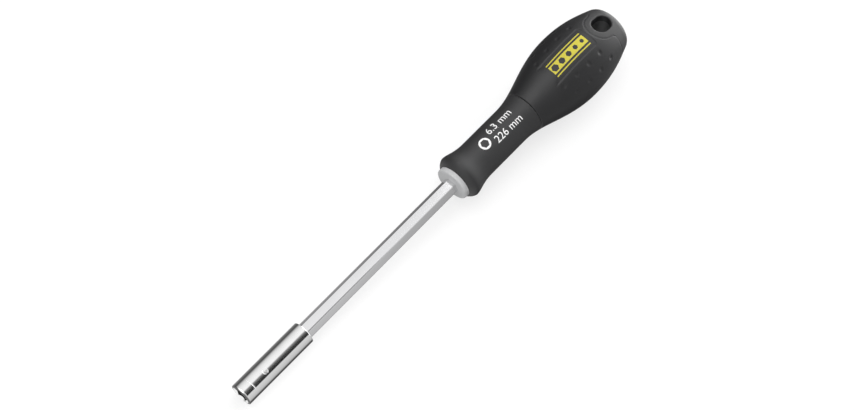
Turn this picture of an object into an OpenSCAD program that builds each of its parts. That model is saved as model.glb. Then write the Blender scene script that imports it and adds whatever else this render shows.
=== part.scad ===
// Bit holder screwdriver: hexagon shaft, magnetic bit sleeve and a moulded bulb handle.
// The tool's axis is X, from the mouth of the bit socket at the origin to the tail of the handle.
// The label side of the handle and the hang slot's axis face up, along Z.

/* [Blade] */
// Width of the hexagon shaft across its flats
shaft_af = 6.35; // [5.5:0.05:7]
// Length of the blade, from the mouth of the sleeve to the front of the handle
blade_l = 125; // [90:1:200]
// Length of the shaft that is held inside the handle
tang_l = 62; // [50:1:70]
// Width across the two pressed wings of the tang
wing_w = 10.4; // [8:0.2:11.5]
// Thickness of the wings
wing_t = 3.2; // [2:0.1:4.5]
// Length of the wings
wing_l = 12; // [6:1:16]
// Distance from the wings to the end of the tang
wing_setback = 6; // [3:1:12]

/* [Bit sleeve] */
// Outside diameter of the sleeve
sleeve_d = 10; // [9.6:0.1:13]
// Length of the sleeve
sleeve_l = 35.5; // [28:0.5:50]
// Depth of the bit socket, from the mouth to the magnet
socket_depth = 12.5; // [9:0.5:15]
// Width of the bit socket across its flats, for 6.35 mm bits
socket_af = 6.45; // [6.4:0.05:6.6]
// Width of the lead-in outside the corners of the socket
mouth_lead = 0.3; // [0.1:0.05:0.5]
// Chamfer on the outer edges of the sleeve
sleeve_chamfer = 0.35; // [0.1:0.05:0.6]
// Width of the fine line round the sleeve, over the retaining ring
line_w = 0.4; // [0.2:0.05:0.8]
// Depth of the fine line
line_depth = 0.06; // [0.02:0.01:0.2]
// Diameter of the stake mark that holds the magnet
stake_d = 2.4; // [1.5:0.1:3]
// Depth of the stake mark
stake_depth = 0.15; // [0.1:0.05:0.6]
// Distance of the stake mark from the magnet's front face
stake_setback = 0.9; // [0.5:0.1:2]
// Angle of the stake mark from the label side
stake_angle = 8; // [0:1:60]

/* [Magnet] */
// Diameter of the magnet
magnet_d = 6; // [4:0.1:6.2]
// Length of the magnet
magnet_l = 5; // [3:0.5:8]

/* [Retaining ring] */
// Diameter of the spring wire
ring_wire_d = 0.8; // [0.5:0.05:0.9]
// Inside diameter of the ring, smaller than a bit measures across its corners
ring_inner_d = 6.7; // [6.5:0.05:6.9]
// Distance from the mouth to the middle of the wire
ring_setback = 5.3; // [3:0.1:8]
// Angle left open between the ends of the ring
ring_gap = 40; // [20:5:90]
// Clearance round the wire in its groove
ring_play = 0.1; // [0.05:0.05:0.15]

/* [Collar and core] */
// Diameter of the collar in front of the handle
collar_d = 15.5; // [13:0.1:16]
// Length of the collar in front of the handle
collar_l = 2.2; // [1:0.1:4]
// Radius of the collar's front edge
collar_round = 0.7; // [0.2:0.1:1]
// Diameter of the core inside the neck
core_d = 12.8; // [12:0.1:14]
// Diameter of the core inside the grip
core_grip_d = 18; // [16:0.5:20]
// Distance from the front of the handle to the wide part of the core
core_step = 50; // [46:1:54]

/* [Handle outline] */
// Length of the handle
handle_l = 101; // [98:1:120]
// Diameter of the rolled flange at the front
flange_d = 20.6; // [19:0.1:24]
// Distance from the front of the handle to the crest of the flange
flange_setback = 3.1; // [2:0.1:5]
// Diameter of the waist of the neck
waist_d = 17.2; // [16.4:0.1:18.5]
// Distance from the front of the handle to the start of the straight waist
waist_start = 14; // [10:0.5:18]
// Length of the straight waist
waist_l = 20; // [15:0.5:22]
// Length of the neck sleeve
neck_l = 43.5; // [42:0.5:46]
// Diameter of the handle where the neck meets the grip
joint_d = 19.6; // [18.6:0.1:21]
// Radius gained for each millimetre of length where the neck meets the grip
joint_slope = 0.24; // [0.1:0.02:0.4]
// Chamfer on each edge of the groove between neck and grip
joint_chamfer = 0.5; // [0.2:0.1:1]
// Largest diameter of the grip
bulb_d = 32; // [29:0.5:36]
// Distance from the front of the handle to the largest diameter
bulb_setback = 72.7; // [68:0.5:76]
// Diameter of the shoulder where the tail begins to round off
shoulder_d = 22.5; // [20:0.5:24]
// Radius lost for each millimetre of length at the shoulder
shoulder_slope = 0.36; // [0.2:0.02:0.6]
// Distance from the shoulder to the end of the tail
tail_round = 4; // [3:0.5:7]

/* [Tail cap and hang slot] */
// Width of the hang slot
slot_w = 7.4; // [5:0.1:8]
// Length of the hang slot
slot_l = 9.6; // [8.5:0.1:12]
// Distance from the hang slot to the end of the tail
slot_setback = 4.6; // [3:0.1:6]
// Width of the hard rim round the front of the hang slot
rim_w = 3.1; // [2:0.1:4]
// Length of the tail cap along the sides of the handle
cap_l = 8; // [6:0.5:9]
// Wall of the cap's skirt under the grip
skirt_wall = 2; // [1.5:0.1:2.5]
// Length of the skirt along the core
skirt_l = 17; // [10:1:25]
// Distance from the end of the core to the hang slot
core_web = 5; // [3:0.5:8]
// Gap of the parting line between grip and tail cap
parting = 0.25; // [0.1:0.05:0.5]

/* [Label recess and dimples] */
// Width of the label recess
recess_w = 10.7; // [8:0.1:12]
// Depth of the recess below the grip
recess_depth = 0.4; // [0.2:0.05:1]
// Distance from the front of the handle to the front of the recess
recess_start = 56; // [50:0.5:60]
// Length over which the floor of the recess slopes down from the grip
recess_slope_l = 4; // [2:0.5:12]
// Radius of the recess's rear corners
recess_corner = 1.2; // [0.5:0.1:2]
// Width of the bridge between the recess and the tail cap
recess_bridge = 1.2; // [0.8:0.1:2]
// Diameter of a grip dimple
dimple_d = 1.9; // [1:0.1:2.5]
// Depth of a grip dimple
dimple_depth = 0.3; // [0.1:0.05:0.5]
// Distance between the dimples of a row
dimple_pitch = 7.3; // [6:0.1:7.5]
// Number of dimples in a row
dimple_count = 4; // [1:1:4]
// Distance from the front of the handle to the first dimple
dimple_start = 58.5; // [57:0.5:60]
// Angle of the row beside the label from the label's middle
dimple_angle = 33; // [30:1:40]
// Angle from that row to the next
dimple_step = 22; // [16:1:30]

/* [Hidden] */
$fn = 96;
// Straight pieces drawn for each curve of the handle's outline
steps = 12;
// Overlap that makes a cut pass clean through a face
pass = 1;
// Half the reach of the cuts that pass through the whole handle
reach = bulb_d;

// How far each curve of the outline holds its direction from its front and its rear end, as shares
flange_pull = [0.2, 0.55];
flare_pull = [0.42, 0.32];
rise_pull = [0.28, 0.42];
fall_pull = [0.41, 0.32];
tail_pull = [0.75, 0.7];

shaft_front = socket_depth + magnet_l;
tang_end = blade_l + tang_l;
socket_corner_r = socket_af / 2 / cos(30);
mouth_r = socket_corner_r + mouth_lead;
ring_mid_r = ring_inner_d / 2 + ring_wire_d / 2;
groove_r = ring_inner_d / 2 + ring_wire_d + ring_play;
groove_w = ring_wire_d + 2 * ring_play;
waist_end = waist_start + waist_l;
shoulder = handle_l - tail_round;
slot_front = handle_l - slot_setback - slot_l;
slot_rear = handle_l - slot_setback;
tongue_front = slot_front - rim_w;
cap_side = handle_l - cap_l;
core_end = slot_front - core_web;
skirt_r = core_grip_d / 2 + skirt_wall;
recess_end = tongue_front - recess_bridge;

// Points of a cubic curve from a to d in equal steps, without its start
function cubic(a, b, c, d, t) =
    pow(1 - t, 3) * a + 3 * pow(1 - t, 2) * t * b + 3 * (1 - t) * t * t * c + pow(t, 3) * d;
function curve(a, b, c, d) = [for (i = [1:steps]) cubic(a, b, c, d, i / steps)];

// A curve of the outline between two points with the slopes that it has there
function sweep(start, end, start_slope, end_slope, pull) =
    let (run = end[0] - start[0])
    curve(start, start + pull[0] * run * [1, start_slope], end - pull[1] * run * [1, end_slope], end);

// Radius of the ball that leaves a dent of this width and depth
function dent_r(width, depth) = (width * width / 4 + depth * depth) / (2 * depth);

// Main points of the handle's outline, as [distance from the handle's front, radius]
flange_crest = [flange_setback, flange_d / 2];
waist_front = [waist_start, waist_d / 2];
waist_rear = [waist_end, waist_d / 2];
neck_rear = [neck_l, joint_d / 2];
bulb_crest = [bulb_setback, bulb_d / 2];
shoulder_edge = [shoulder, shoulder_d / 2];
tail_tip = [handle_l, 0];

// Outline of the neck; its lip is a round flattened towards a chamfer, and a power of 1 gives a plain round
lip_power = 4 / 3;
lip = [for (i = [0:steps])
    [flange_setback * (1 - pow(cos(90 * i / steps), lip_power)),
     collar_d / 2 + (flange_d - collar_d) / 2 * pow(sin(90 * i / steps), lip_power)]];
flange_back = sweep(flange_crest, waist_front, 0, 0, flange_pull);
flare = sweep(waist_rear, neck_rear, 0, joint_slope, flare_pull);
neck_outline = concat(lip, flange_back, [waist_rear], flare);

// Outline of the grip and the tail
rise = sweep(neck_rear, bulb_crest, joint_slope, 0, rise_pull);
fall = sweep(bulb_crest, shoulder_edge, 0, -shoulder_slope, fall_pull);
tail = curve(shoulder_edge, shoulder_edge + tail_pull[0] * tail_round * [1, -shoulder_slope],
             [handle_l, tail_pull[1] * shoulder_d / 2], tail_tip);
grip_outline = concat([neck_rear], rise, fall);
bulb_outline = concat(grip_outline, tail);
function bulb_r(x) = lookup(x, grip_outline);

// Radius of the recess's floor: it slopes down from the grip, then follows the grip's outline
function recess_r(x) = bulb_r(x) - recess_depth * min(1, (x - recess_start) / recess_slope_l);

// A solid turned about X from an outline of [distance, radius] points
module turned(outline) {
    rotate([0, 90, 0]) rotate_extrude() polygon([for (p = outline) [p[1], p[0]]]);
}

// A hexagon bar along X with one flat up
module hex_bar(af, from, to) {
    translate([from, 0, 0]) rotate([0, 90, 0]) rotate([0, 0, 30])
        cylinder(d = af / cos(30), h = to - from, $fn = 6);
}

// A round bar along X
module round_bar(r, from, to) {
    translate([from, 0, 0]) rotate([0, 90, 0]) cylinder(r = r, h = to - from);
}

// A straight opening with round ends, seen from above
module slot_plan() {
    slot_r = slot_w / 2;
    translate([slot_front + slot_r, 0]) circle(slot_r);
    translate([slot_rear - slot_r, 0]) circle(slot_r);
    translate([slot_front + slot_r, -slot_r]) square([slot_l - slot_w, slot_w]);
}

// The tail cap seen from above, grown by the given gap
module cap_plan(grow) {
    tongue_r = slot_w / 2 + rim_w + grow;
    tongue_x = slot_front + slot_w / 2;
    translate([tongue_x, 0]) circle(tongue_r);
    translate([tongue_x, -tongue_r]) square([handle_l - tongue_x, 2 * tongue_r]);
    translate([cap_side - grow, -reach]) square([cap_l + grow + pass, 2 * reach]);
}

// A plan drawn through the whole height of the handle
module through() {
    translate([0, 0, -reach]) linear_extrude(2 * reach) children();
}

module shaft_body() {
    hex_bar(shaft_af, shaft_front, tang_end);
    translate([tang_end - wing_setback - wing_l, -wing_w / 2, -wing_t / 2]) cube([wing_l, wing_w, wing_t]);
}

// Outer form of the core, from the front of the handle
module core_form() {
    collar_r = collar_d / 2;
    rounded = [for (i = [0:steps])
        [-collar_l + collar_round * (1 - cos(90 * i / steps)),
         collar_r - collar_round + collar_round * sin(90 * i / steps)]];
    step_run = (core_grip_d - core_d) / 2;
    turned(concat([[-collar_l, 0]], rounded,
                  [[0, collar_r], [0, core_d / 2],
                   [core_step, core_d / 2], [core_step + step_run, core_grip_d / 2],
                   [core_end, core_grip_d / 2], [core_end, 0]]));
}

module recess_cut() {
    floor_front = recess_start - pass;
    floor_rear = recess_end + pass;
    recess_floor = [for (i = [0:steps])
        let (x = floor_front + (floor_rear - floor_front) * i / steps) [x, recess_r(x)]];
    difference() {
        linear_extrude(reach) {
            translate([recess_start, -recess_w / 2]) square([recess_end - recess_start - recess_corner, recess_w]);
            translate([recess_start, recess_corner - recess_w / 2])
                square([recess_end - recess_start, recess_w - 2 * recess_corner]);
            for (side = [-1, 1])
                translate([recess_end - recess_corner, side * (recess_w / 2 - recess_corner)]) circle(recess_corner);
        }
        turned(concat([[floor_front, 0]], recess_floor, [[floor_rear, 0]]));
    }
}

module dimple_cuts() {
    ball_r = dent_r(dimple_d, dimple_depth);
    for (face = [0, 180], side = [-1, 1], row = [0, 1], i = [0:dimple_count - 1]) {
        x = dimple_start + dimple_pitch * (i + row / 2);
        rotate([face + side * (dimple_angle + row * dimple_step), 0, 0])
            translate([x, 0, bulb_r(x) + ball_r - dimple_depth]) sphere(ball_r);
    }
}

// Hexagon shaft with the two wings that the handle is moulded round
module hex_shaft() {
    color("Silver") shaft_body();
}

// Steel sleeve with the bit socket, the groove of the retaining ring and the seat of the shaft
module bit_sleeve() {
    sleeve_r = sleeve_d / 2;
    stake_ball_r = dent_r(stake_d, stake_depth);
    color("Gainsboro") difference() {
        turned([[0, 0], [0, sleeve_r - sleeve_chamfer], [sleeve_chamfer, sleeve_r],
                [ring_setback - line_w / 2, sleeve_r], [ring_setback, sleeve_r - line_depth],
                [ring_setback + line_w / 2, sleeve_r], [sleeve_l - sleeve_chamfer, sleeve_r],
                [sleeve_l, sleeve_r - sleeve_chamfer], [sleeve_l, 0]]);
        hex_bar(socket_af, -pass, shaft_front);
        hex_bar(shaft_af, shaft_front - pass, sleeve_l + pass);
        turned([[-pass, 0], [-pass, mouth_r], [0, mouth_r], [mouth_r - socket_af / 2, socket_af / 2],
                [mouth_r - socket_af / 2, 0]]);
        round_bar(groove_r, ring_setback - groove_w / 2, ring_setback + groove_w / 2);
        rotate([stake_angle, 0, 0])
            translate([socket_depth + stake_setback, 0, sleeve_r + stake_ball_r - stake_depth])
            sphere(stake_ball_r);
    }
}

// Round magnet at the bottom of the bit socket
module magnet() {
    color("DimGray") round_bar(magnet_d / 2, socket_depth, shaft_front);
}

// Open spring wire ring that grips the edges of a bit
module retaining_ring() {
    color("DarkGray") translate([ring_setback, 0, 0]) rotate([0, 90, 0]) rotate([0, 0, ring_gap / 2])
        rotate_extrude(angle = 360 - ring_gap) translate([ring_mid_r, 0]) circle(d = ring_wire_d);
}

// Hard core with the collar that shows in front of the handle
module handle_core() {
    color("LightGray") difference() {
        translate([blade_l, 0, 0]) core_form();
        shaft_body();
    }
}

// Neck of the handle, from the rolled flange to the groove
module neck_sleeve() {
    core_r = core_d / 2;
    before_groove = [for (p = neck_outline) if (p[0] < neck_l - joint_chamfer) p];
    color("#262626") translate([blade_l, 0, 0])
        turned(concat([[0, core_r]], before_groove,
                      [[neck_l - joint_chamfer, joint_d / 2 - joint_chamfer * joint_slope],
                       [neck_l, joint_d / 2 - joint_chamfer], [neck_l, core_r]]));
}

// Soft bulb with the label recess and the rows of dimples
module grip() {
    after_groove = [for (p = bulb_outline) if (p[0] > neck_l + joint_chamfer) p];
    color("#333333") translate([blade_l, 0, 0]) difference() {
        turned(concat([[neck_l, 0], [neck_l, joint_d / 2 - joint_chamfer],
                       [neck_l + joint_chamfer, joint_d / 2 + joint_chamfer * joint_slope]], after_groove));
        core_form();
        round_bar(skirt_r, core_end - skirt_l, handle_l);
        through() cap_plan(parting);
        recess_cut();
        dimple_cuts();
    }
}

// Hard tail with the hang slot and a skirt that sits on the end of the core
module tail_cap() {
    color("#262626") translate([blade_l, 0, 0]) difference() {
        union() {
            intersection() {
                turned(concat([[neck_l, 0]], bulb_outline));
                through() cap_plan(0);
            }
            round_bar(skirt_r, core_end - skirt_l, cap_side);
        }
        core_form();
        through() slot_plan();
    }
}

hex_shaft();
bit_sleeve();
magnet();
retaining_ring();
handle_core();
neck_sleeve();
grip();
tail_cap();
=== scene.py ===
"""Bit holder screwdriver: finished pieces, surfaces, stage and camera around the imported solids."""
import math

import bmesh
import bpy
import numpy as np
from bpy.props import FloatProperty, FloatVectorProperty, IntProperty, PointerProperty, StringProperty
from mathutils import Matrix, Vector
from mathutils.geometry import interpolate_bezier


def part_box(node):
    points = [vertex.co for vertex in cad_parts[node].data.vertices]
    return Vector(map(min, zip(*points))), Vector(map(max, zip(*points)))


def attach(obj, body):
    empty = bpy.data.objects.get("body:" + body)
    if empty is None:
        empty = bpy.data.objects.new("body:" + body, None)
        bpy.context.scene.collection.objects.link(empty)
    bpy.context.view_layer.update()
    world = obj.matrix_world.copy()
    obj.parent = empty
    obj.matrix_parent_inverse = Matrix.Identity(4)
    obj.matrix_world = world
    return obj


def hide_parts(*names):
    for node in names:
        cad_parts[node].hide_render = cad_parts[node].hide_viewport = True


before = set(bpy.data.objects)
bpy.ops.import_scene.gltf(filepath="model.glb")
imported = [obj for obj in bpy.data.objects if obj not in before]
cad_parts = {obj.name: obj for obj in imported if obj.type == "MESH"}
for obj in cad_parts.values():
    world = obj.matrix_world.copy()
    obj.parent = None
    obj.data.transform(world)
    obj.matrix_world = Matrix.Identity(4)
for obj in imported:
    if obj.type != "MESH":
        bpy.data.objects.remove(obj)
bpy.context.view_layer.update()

bl_info = {
    "name": "Bit Holder Screwdriver",
    "version": (1, 0, 0),
    "blender": (4, 5, 0),
    "location": "3D View > Sidebar > Bit Driver",
    "description": "Builds the finished pieces of a bit holder screwdriver, their surfaces and the stage",
    "category": "Object",
}

MM = 0.001
QUARTER = math.pi / 2
# Angle from the middle of a hexagon's flat to its corner
HALF_FLAT = math.radians(30)
# Points on each curve of the handle's outline, on its lip and round a printed sign
CURVE_STEPS = 120
LIP_STEPS = 24
SIGN_STEPS = 72
# Distance below which points are one, in any piece and in a print that is cut fine
MERGE = 2e-6
SLIVER = 0.005 * MM
# Angles in degrees above which an edge stays sharp
BAR_SHARP = 20
SLEEVE_SHARP = 24
PLAIN_SHARP = 32
MOULDED_SHARP = 40

# Places along the tool's axis and radii that the solids give
SLEEVE_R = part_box("bit_sleeve")[1].z
SLEEVE_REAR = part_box("bit_sleeve")[1].x
SHAFT_FRONT, SHAFT_REAR = (corner.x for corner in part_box("hex_shaft"))
SHAFT_AF = 2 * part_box("hex_shaft")[1].z
COLLAR_FRONT, CORE_REAR = (corner.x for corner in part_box("handle_core"))
CORE_GRIP_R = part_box("handle_core")[1].y
HANDLE_FRONT, NECK_REAR = (corner.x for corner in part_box("neck_sleeve"))
FLANGE_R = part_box("neck_sleeve")[1].z
BULB_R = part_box("grip")[1].y
SKIRT_FRONT, TAIL = (corner.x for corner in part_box("tail_cap"))
RING_MIDDLE = sum(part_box("retaining_ring"), Vector()).x / 2


# Sizes and colours that a user may change

def length(label, note, millimetres):
    """A size, written in millimetres and kept in metres."""
    return FloatProperty(name=label, description=note, default=millimetres * MM, unit="LENGTH", precision=5)


def turning(label, note, degrees):
    """An angle, written in degrees."""
    angle = math.radians(degrees)
    return FloatProperty(name=label, description=note, default=angle, subtype="ANGLE", unit="ROTATION")


def plain(label, note, value):
    """A number without a unit, such as a share or a slope."""
    return FloatProperty(name=label, description=note, default=value, precision=3)


def pull(label, front, rear):
    """How far a curve of the outline holds its direction from each end."""
    note = "Shares of the curve's length over which it holds its direction, from its front and its rear end"
    return FloatVectorProperty(name=label, description=note, size=2, default=(front, rear), min=0, max=1)


def paint(label, note, *rgb):
    """A colour of the finish, in linear light."""
    return FloatVectorProperty(name=label, description=note, size=3, default=rgb, min=0, max=1,
                               subtype="COLOR")


def place(label, note, *millimetres):
    """A point in the tool's frame, written in millimetres."""
    point = [value * MM for value in millimetres]
    return FloatVectorProperty(name=label, description=note, size=3, default=point,
                               subtype="TRANSLATION", unit="LENGTH")


class ShaftSizes(bpy.types.PropertyGroup):
    """Hexagon shaft"""

    corner: length("Corner", "Rounding of the bar's six long edges", 0.28)
    wing_w: length("Wing width", "Width across the two pressed wings of the tang", 10.4)
    wing_t: length("Wing thickness", "Thickness of the wings", 3.2)
    wing_l: length("Wing length", "Length of the wings", 12)
    wing_setback: length("Wing setback", "Distance from the wings to the end of the tang", 6)


class SleeveSizes(bpy.types.PropertyGroup):
    """Bit sleeve"""

    socket_af: length("Socket width", "Width of the bit socket across its flats", 6.45)
    mouth_lead: length("Lead-in", "Width of the lead-in outside the corners of the socket", 0.3)
    edge: length("Edge", "Rounding of the outer edges", 0.2)
    face_setback: length("Face setback", "How far the front face falls back towards the outside", 0.19)
    # The mouth's edge over this length is rougher and painted nearly black as shade
    dull_shaded_rim: length("Dull rim", "Length of the unpolished edge at the mouth", 0.45)
    front_rim: length("Front rim", "Length of the eased rim at the mouth", 0.95)
    rim_drop: plain("Rim slope", "Radius lost for each millimetre along the eased rim", 0.036)
    bend: length("Bend", "Length over which the straight outside turns into a rim or the line", 0.12)
    line_w: length("Line width", "Width of the fine line over the retaining ring", 0.5)
    line_depth: length("Line depth", "Depth of the fine line at its front edge", 0.025)
    groove_w: length("Groove width", "Width of the retaining ring's groove", 1.0)
    groove_r: length("Groove radius", "Radius of the retaining ring's groove", 4.25)
    stake_x: length("Stake place", "Distance from the mouth to the stake mark", 12.7)
    stake_r: length("Stake radius", "Radius of the stake mark", 1.33)
    stake_depth: length("Stake depth", "Depth of the stake mark at its front edge", 0.094)
    stake_turn: turning("Stake angle", "Angle of the stake mark from the label side", 15.5)
    columns: IntProperty(name="Columns", description="Faces round the sleeve", default=192, min=48)


class HandleOutline(bpy.types.PropertyGroup):
    """Outline of the handle, measured from its front"""

    lip_d: length("Lip diameter", "Diameter of the opening round the collar", 15.5)
    flange_setback: length("Flange place", "Distance from the front to the crest of the flange", 3.1)
    lip_power: plain("Lip power", "Flattening of the lip's round towards a chamfer, 1 for none", 4 / 3)
    waist_d: length("Waist diameter", "Diameter of the waist of the neck", 17.2)
    waist_start: length("Waist start", "Distance from the front to the straight waist", 14)
    waist_l: length("Waist length", "Length of the straight waist", 20)
    joint_d: length("Joint diameter", "Diameter where the neck meets the grip", 19.6)
    joint_slope: plain("Joint slope", "Radius gained along the axis where the neck meets the grip", 0.24)
    bulb_setback: length("Bulb place", "Distance from the front to the largest diameter", 72.7)
    shoulder_d: length("Shoulder diameter", "Diameter where the tail begins to round off", 22.5)
    shoulder_slope: plain("Shoulder slope", "Radius lost along the axis at the shoulder", 0.36)
    tail_round: length("Tail rounding", "Distance from the shoulder to the end of the tail", 4)
    flange_pull: pull("Flange pull", 0.2, 0.55)
    flare_pull: pull("Flare pull", 0.42, 0.32)
    rise_pull: pull("Rise pull", 0.28, 0.42)
    fall_pull: pull("Fall pull", 0.41, 0.32)
    tail_pull: pull("Tail pull", 0.75, 0.7)


class CoreSizes(bpy.types.PropertyGroup):
    """Core and collar"""

    collar_d: length("Collar diameter", "Diameter of the collar in front of the handle", 15.5)
    collar_round: length("Collar edge", "Rounding of the collar's front edge", 0.7)
    core_d: length("Core diameter", "Diameter of the core inside the neck", 12.8)
    core_step: length("Core step", "Distance from the front of the handle to the wide part of the core", 50)


class GripSizes(bpy.types.PropertyGroup):
    """Soft grip"""

    groove_edge: length("Groove edge", "Rounding of each edge of the groove between neck and grip", 0.45)
    groove_depth: length("Groove depth", "Depth of the groove between neck and grip", 0.55)
    parting_edge: length("Parting edge", "Width of the slope of the grip's edge along the tail cap", 0.8)
    parting_drop: length("Parting drop", "Depth of that slope", 0.08)
    recess_w: length("Recess width", "Width of the label recess", 11)
    recess_depth: length("Recess depth", "Depth of the recess below the grip", 0.24)
    recess_start: length("Recess start", "Distance from the front of the handle to the recess", 56)
    recess_end: length("Recess end", "Distance from the front of the handle to the recess's rear end", 82.5)
    recess_slope: length("Recess slope", "Length over which the recess slopes down in its middle", 7)
    recess_hook: length("Recess hook", "Length over which the recess slopes down beside its borders", 1.2)
    recess_corner: length("Recess corner", "Rounding of the recess's rear corners", 1.4)
    recess_wall: length("Recess wall", "Width of the recess's sloping wall", 0.6)
    dimple_r: length("Dimple radius", "Radius of a dimple", 1.45)
    dimple_depth: length("Dimple depth", "Depth of a dimple", 0.3)
    dimple_pitch: length("Dimple pitch", "Distance between the dimples of a row", 7.3)
    dimple_count: IntProperty(name="Dimples", description="Dimples in a row", default=4, min=1)
    dimple_start: length("First dimple", "Distance from the front of the handle to the first dimple", 58.5)
    dimple_turn: turning("Dimple angle", "Angle of the row beside the label from the label's middle", 33)
    dimple_step: turning("Row angle", "Angle from that row to the next", 22)


class CapSizes(bpy.types.PropertyGroup):
    """Tail cap"""

    slot_w: length("Slot width", "Width of the hang slot", 7.4)
    slot_l: length("Slot length", "Length of the hang slot", 9.6)
    slot_setback: length("Slot place", "Distance from the hang slot to the end of the tail", 4.6)
    slot_round: length("Slot edge", "Rounding of the hang slot's mouths", 0.7)
    # Below this depth the hang slot's wall is painted a grey that stands for the core, darkened as painted
    # shade
    shell: length("Shell", "Thickness of the black shell over the lighter core in the hang slot", 4.2)
    rim_w: length("Rim width", "Width of the hard rim round the front of the hang slot", 3.1)
    cap_l: length("Cap length", "Length of the cap along the sides of the handle", 8)
    inner_corner: length("Inner corner", "Blend between the rim's side and the cap's side", 2.4)
    parting: length("Parting", "Gap between the grip and the cap", 0.06)
    edge: length("Edge", "Width of the slope of the cap's edge along the grip", 0.8)
    edge_drop: length("Edge drop", "Depth of that slope", 0.08)
    skirt_r: length("Skirt radius", "Radius of the skirt under the grip", 11)


class PrintSizes(bpy.types.PropertyGroup):
    """Prints on the neck and in the label recess"""

    ink: length("Ink", "Height of the ink over the surface", 0.02)
    icon_x: length("Icon place", "Distance from the front of the handle to the drive sign's middle", 17.8)
    icon_d: length("Icon diameter", "Outside diameter of the drive sign", 5.3)
    icon_af: length("Icon hexagon", "Width of the drive sign's hexagon across its flats", 3.4)
    first_line: StringProperty(name="First line", description="Drive size", default="6.3 mm")
    second_line: StringProperty(name="Second line", description="Overall length", default="226 mm")
    text_x: length("Text place", "Distance from the front of the handle to the numbers", 22.0)
    text_size: length("Text size", "Size of the numbers", 4.7)
    text_spread: length("Line spread", "Distance from the middle of the neck to each line's middle", 2.6)
    band_w: length("Band width", "Width of the label's band and of the square round each sign", 4.2)
    band_x: length("Band place", "Distance from the front of the handle to the band's middle", 69.8)
    sign_af: length("Sign size", "Width of the band's largest hexagon across its flats", 3.0)
    sign_step: length("Sign step", "How much smaller each next hexagon is", 0.3)
    sign_count: IntProperty(name="Signs", description="Hexagon signs on the band", default=5, min=1)
    line_w: length("Line width", "Width of the two lines beside the band", 0.55)
    line_y: length("Line place", "Distance from the label's middle to each line's middle", 3.3)


class FinishColours(bpy.types.PropertyGroup):
    """Colours of the finishes"""

    plating: paint("Plating", "Bright plating of the shaft", 0.80, 0.80, 0.81)
    steel: paint("Steel", "Polished stainless of the sleeve", 0.90, 0.90, 0.90)
    nickel: paint("Nickel", "Plating of the magnet", 0.60, 0.58, 0.55)
    wire: paint("Spring wire", "Drawn wire of the retaining ring", 0.42, 0.41, 0.40)
    collar: paint("Collar", "Light grey of the core", 0.56, 0.565, 0.57)
    # Painted shade: the core's grey darkened to how it looks in the shade deep in the hang slot
    shaded_slot_grey: paint("Slot grey", "Core that shows deep in the hang slot", 0.14, 0.14, 0.145)
    hard_black: paint("Hard black", "Neck and tail cap", 0.021, 0.021, 0.022)
    soft_black: paint("Soft black", "Grip", 0.011, 0.011, 0.012)
    white_ink: paint("White ink", "Print on the neck", 0.86, 0.86, 0.86)
    yellow_ink: paint("Yellow ink", "Band on the label", 0.57, 0.50, 0.042)


class StageSizes(bpy.types.PropertyGroup):
    """Floor, light and camera"""

    floor_reach: length("Floor reach", "Half the side of the floor", 6000)
    bulb_touch: length("Bulb contact", "Distance from the mouth to where the bulb touches the floor", 194)
    eye: place("Camera", "Place of the camera", -132.8, -183.57, 675.56)
    target: place("Target", "Point at the middle of the picture", 109.2, 1.178, 0.323)
    lean: turning("Lean", "Angle of the tool's axis in the picture", 44.975)
    focal_pixels: plain("Focal length", "Focal length in pixels of the picture", 1821)
    key_place: place("Key light", "Place of the large soft light", 260, 60, 620)
    key_size: length("Key size", "Side of the large soft light", 420)
    key_power: plain("Key power", "Power of the large soft light in watts", 0.15)
    floor_glow: plain("Floor glow", "Part of the floor's brightness that no shadow takes away", 0.7)


class DriverSettings(bpy.types.PropertyGroup):
    """All sizes and colours of the tool"""

    shaft: PointerProperty(type=ShaftSizes)
    sleeve: PointerProperty(type=SleeveSizes)
    outline: PointerProperty(type=HandleOutline)
    core: PointerProperty(type=CoreSizes)
    grip: PointerProperty(type=GripSizes)
    cap: PointerProperty(type=CapSizes)
    prints: PointerProperty(type=PrintSizes)
    colours: PointerProperty(type=FinishColours)
    stage: PointerProperty(type=StageSizes)


# Shader nodes

class Number:
    """One output of a node. Arithmetic on it adds Math nodes."""

    def __init__(self, nodes, socket):
        self.nodes = nodes
        self.socket = socket

    def __add__(self, other):
        return self.nodes.maths("ADD", self, other)

    def __radd__(self, other):
        return self.nodes.maths("ADD", other, self)

    def __sub__(self, other):
        return self.nodes.maths("SUBTRACT", self, other)

    def __rsub__(self, other):
        return self.nodes.maths("SUBTRACT", other, self)

    def __mul__(self, other):
        return self.nodes.maths("MULTIPLY", self, other)

    def __rmul__(self, other):
        return self.nodes.maths("MULTIPLY", other, self)

    def __truediv__(self, other):
        return self.nodes.maths("DIVIDE", self, other)

    def __neg__(self):
        return self.nodes.maths("MULTIPLY", self, -1.0)

    def between(self, low, high):
        """This number, which runs from 0 to 1, spread between two numbers."""
        return self * (high - low) + low


def grey(level):
    """A neutral colour of a brightness."""
    return level, level, level, 1.0


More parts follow.
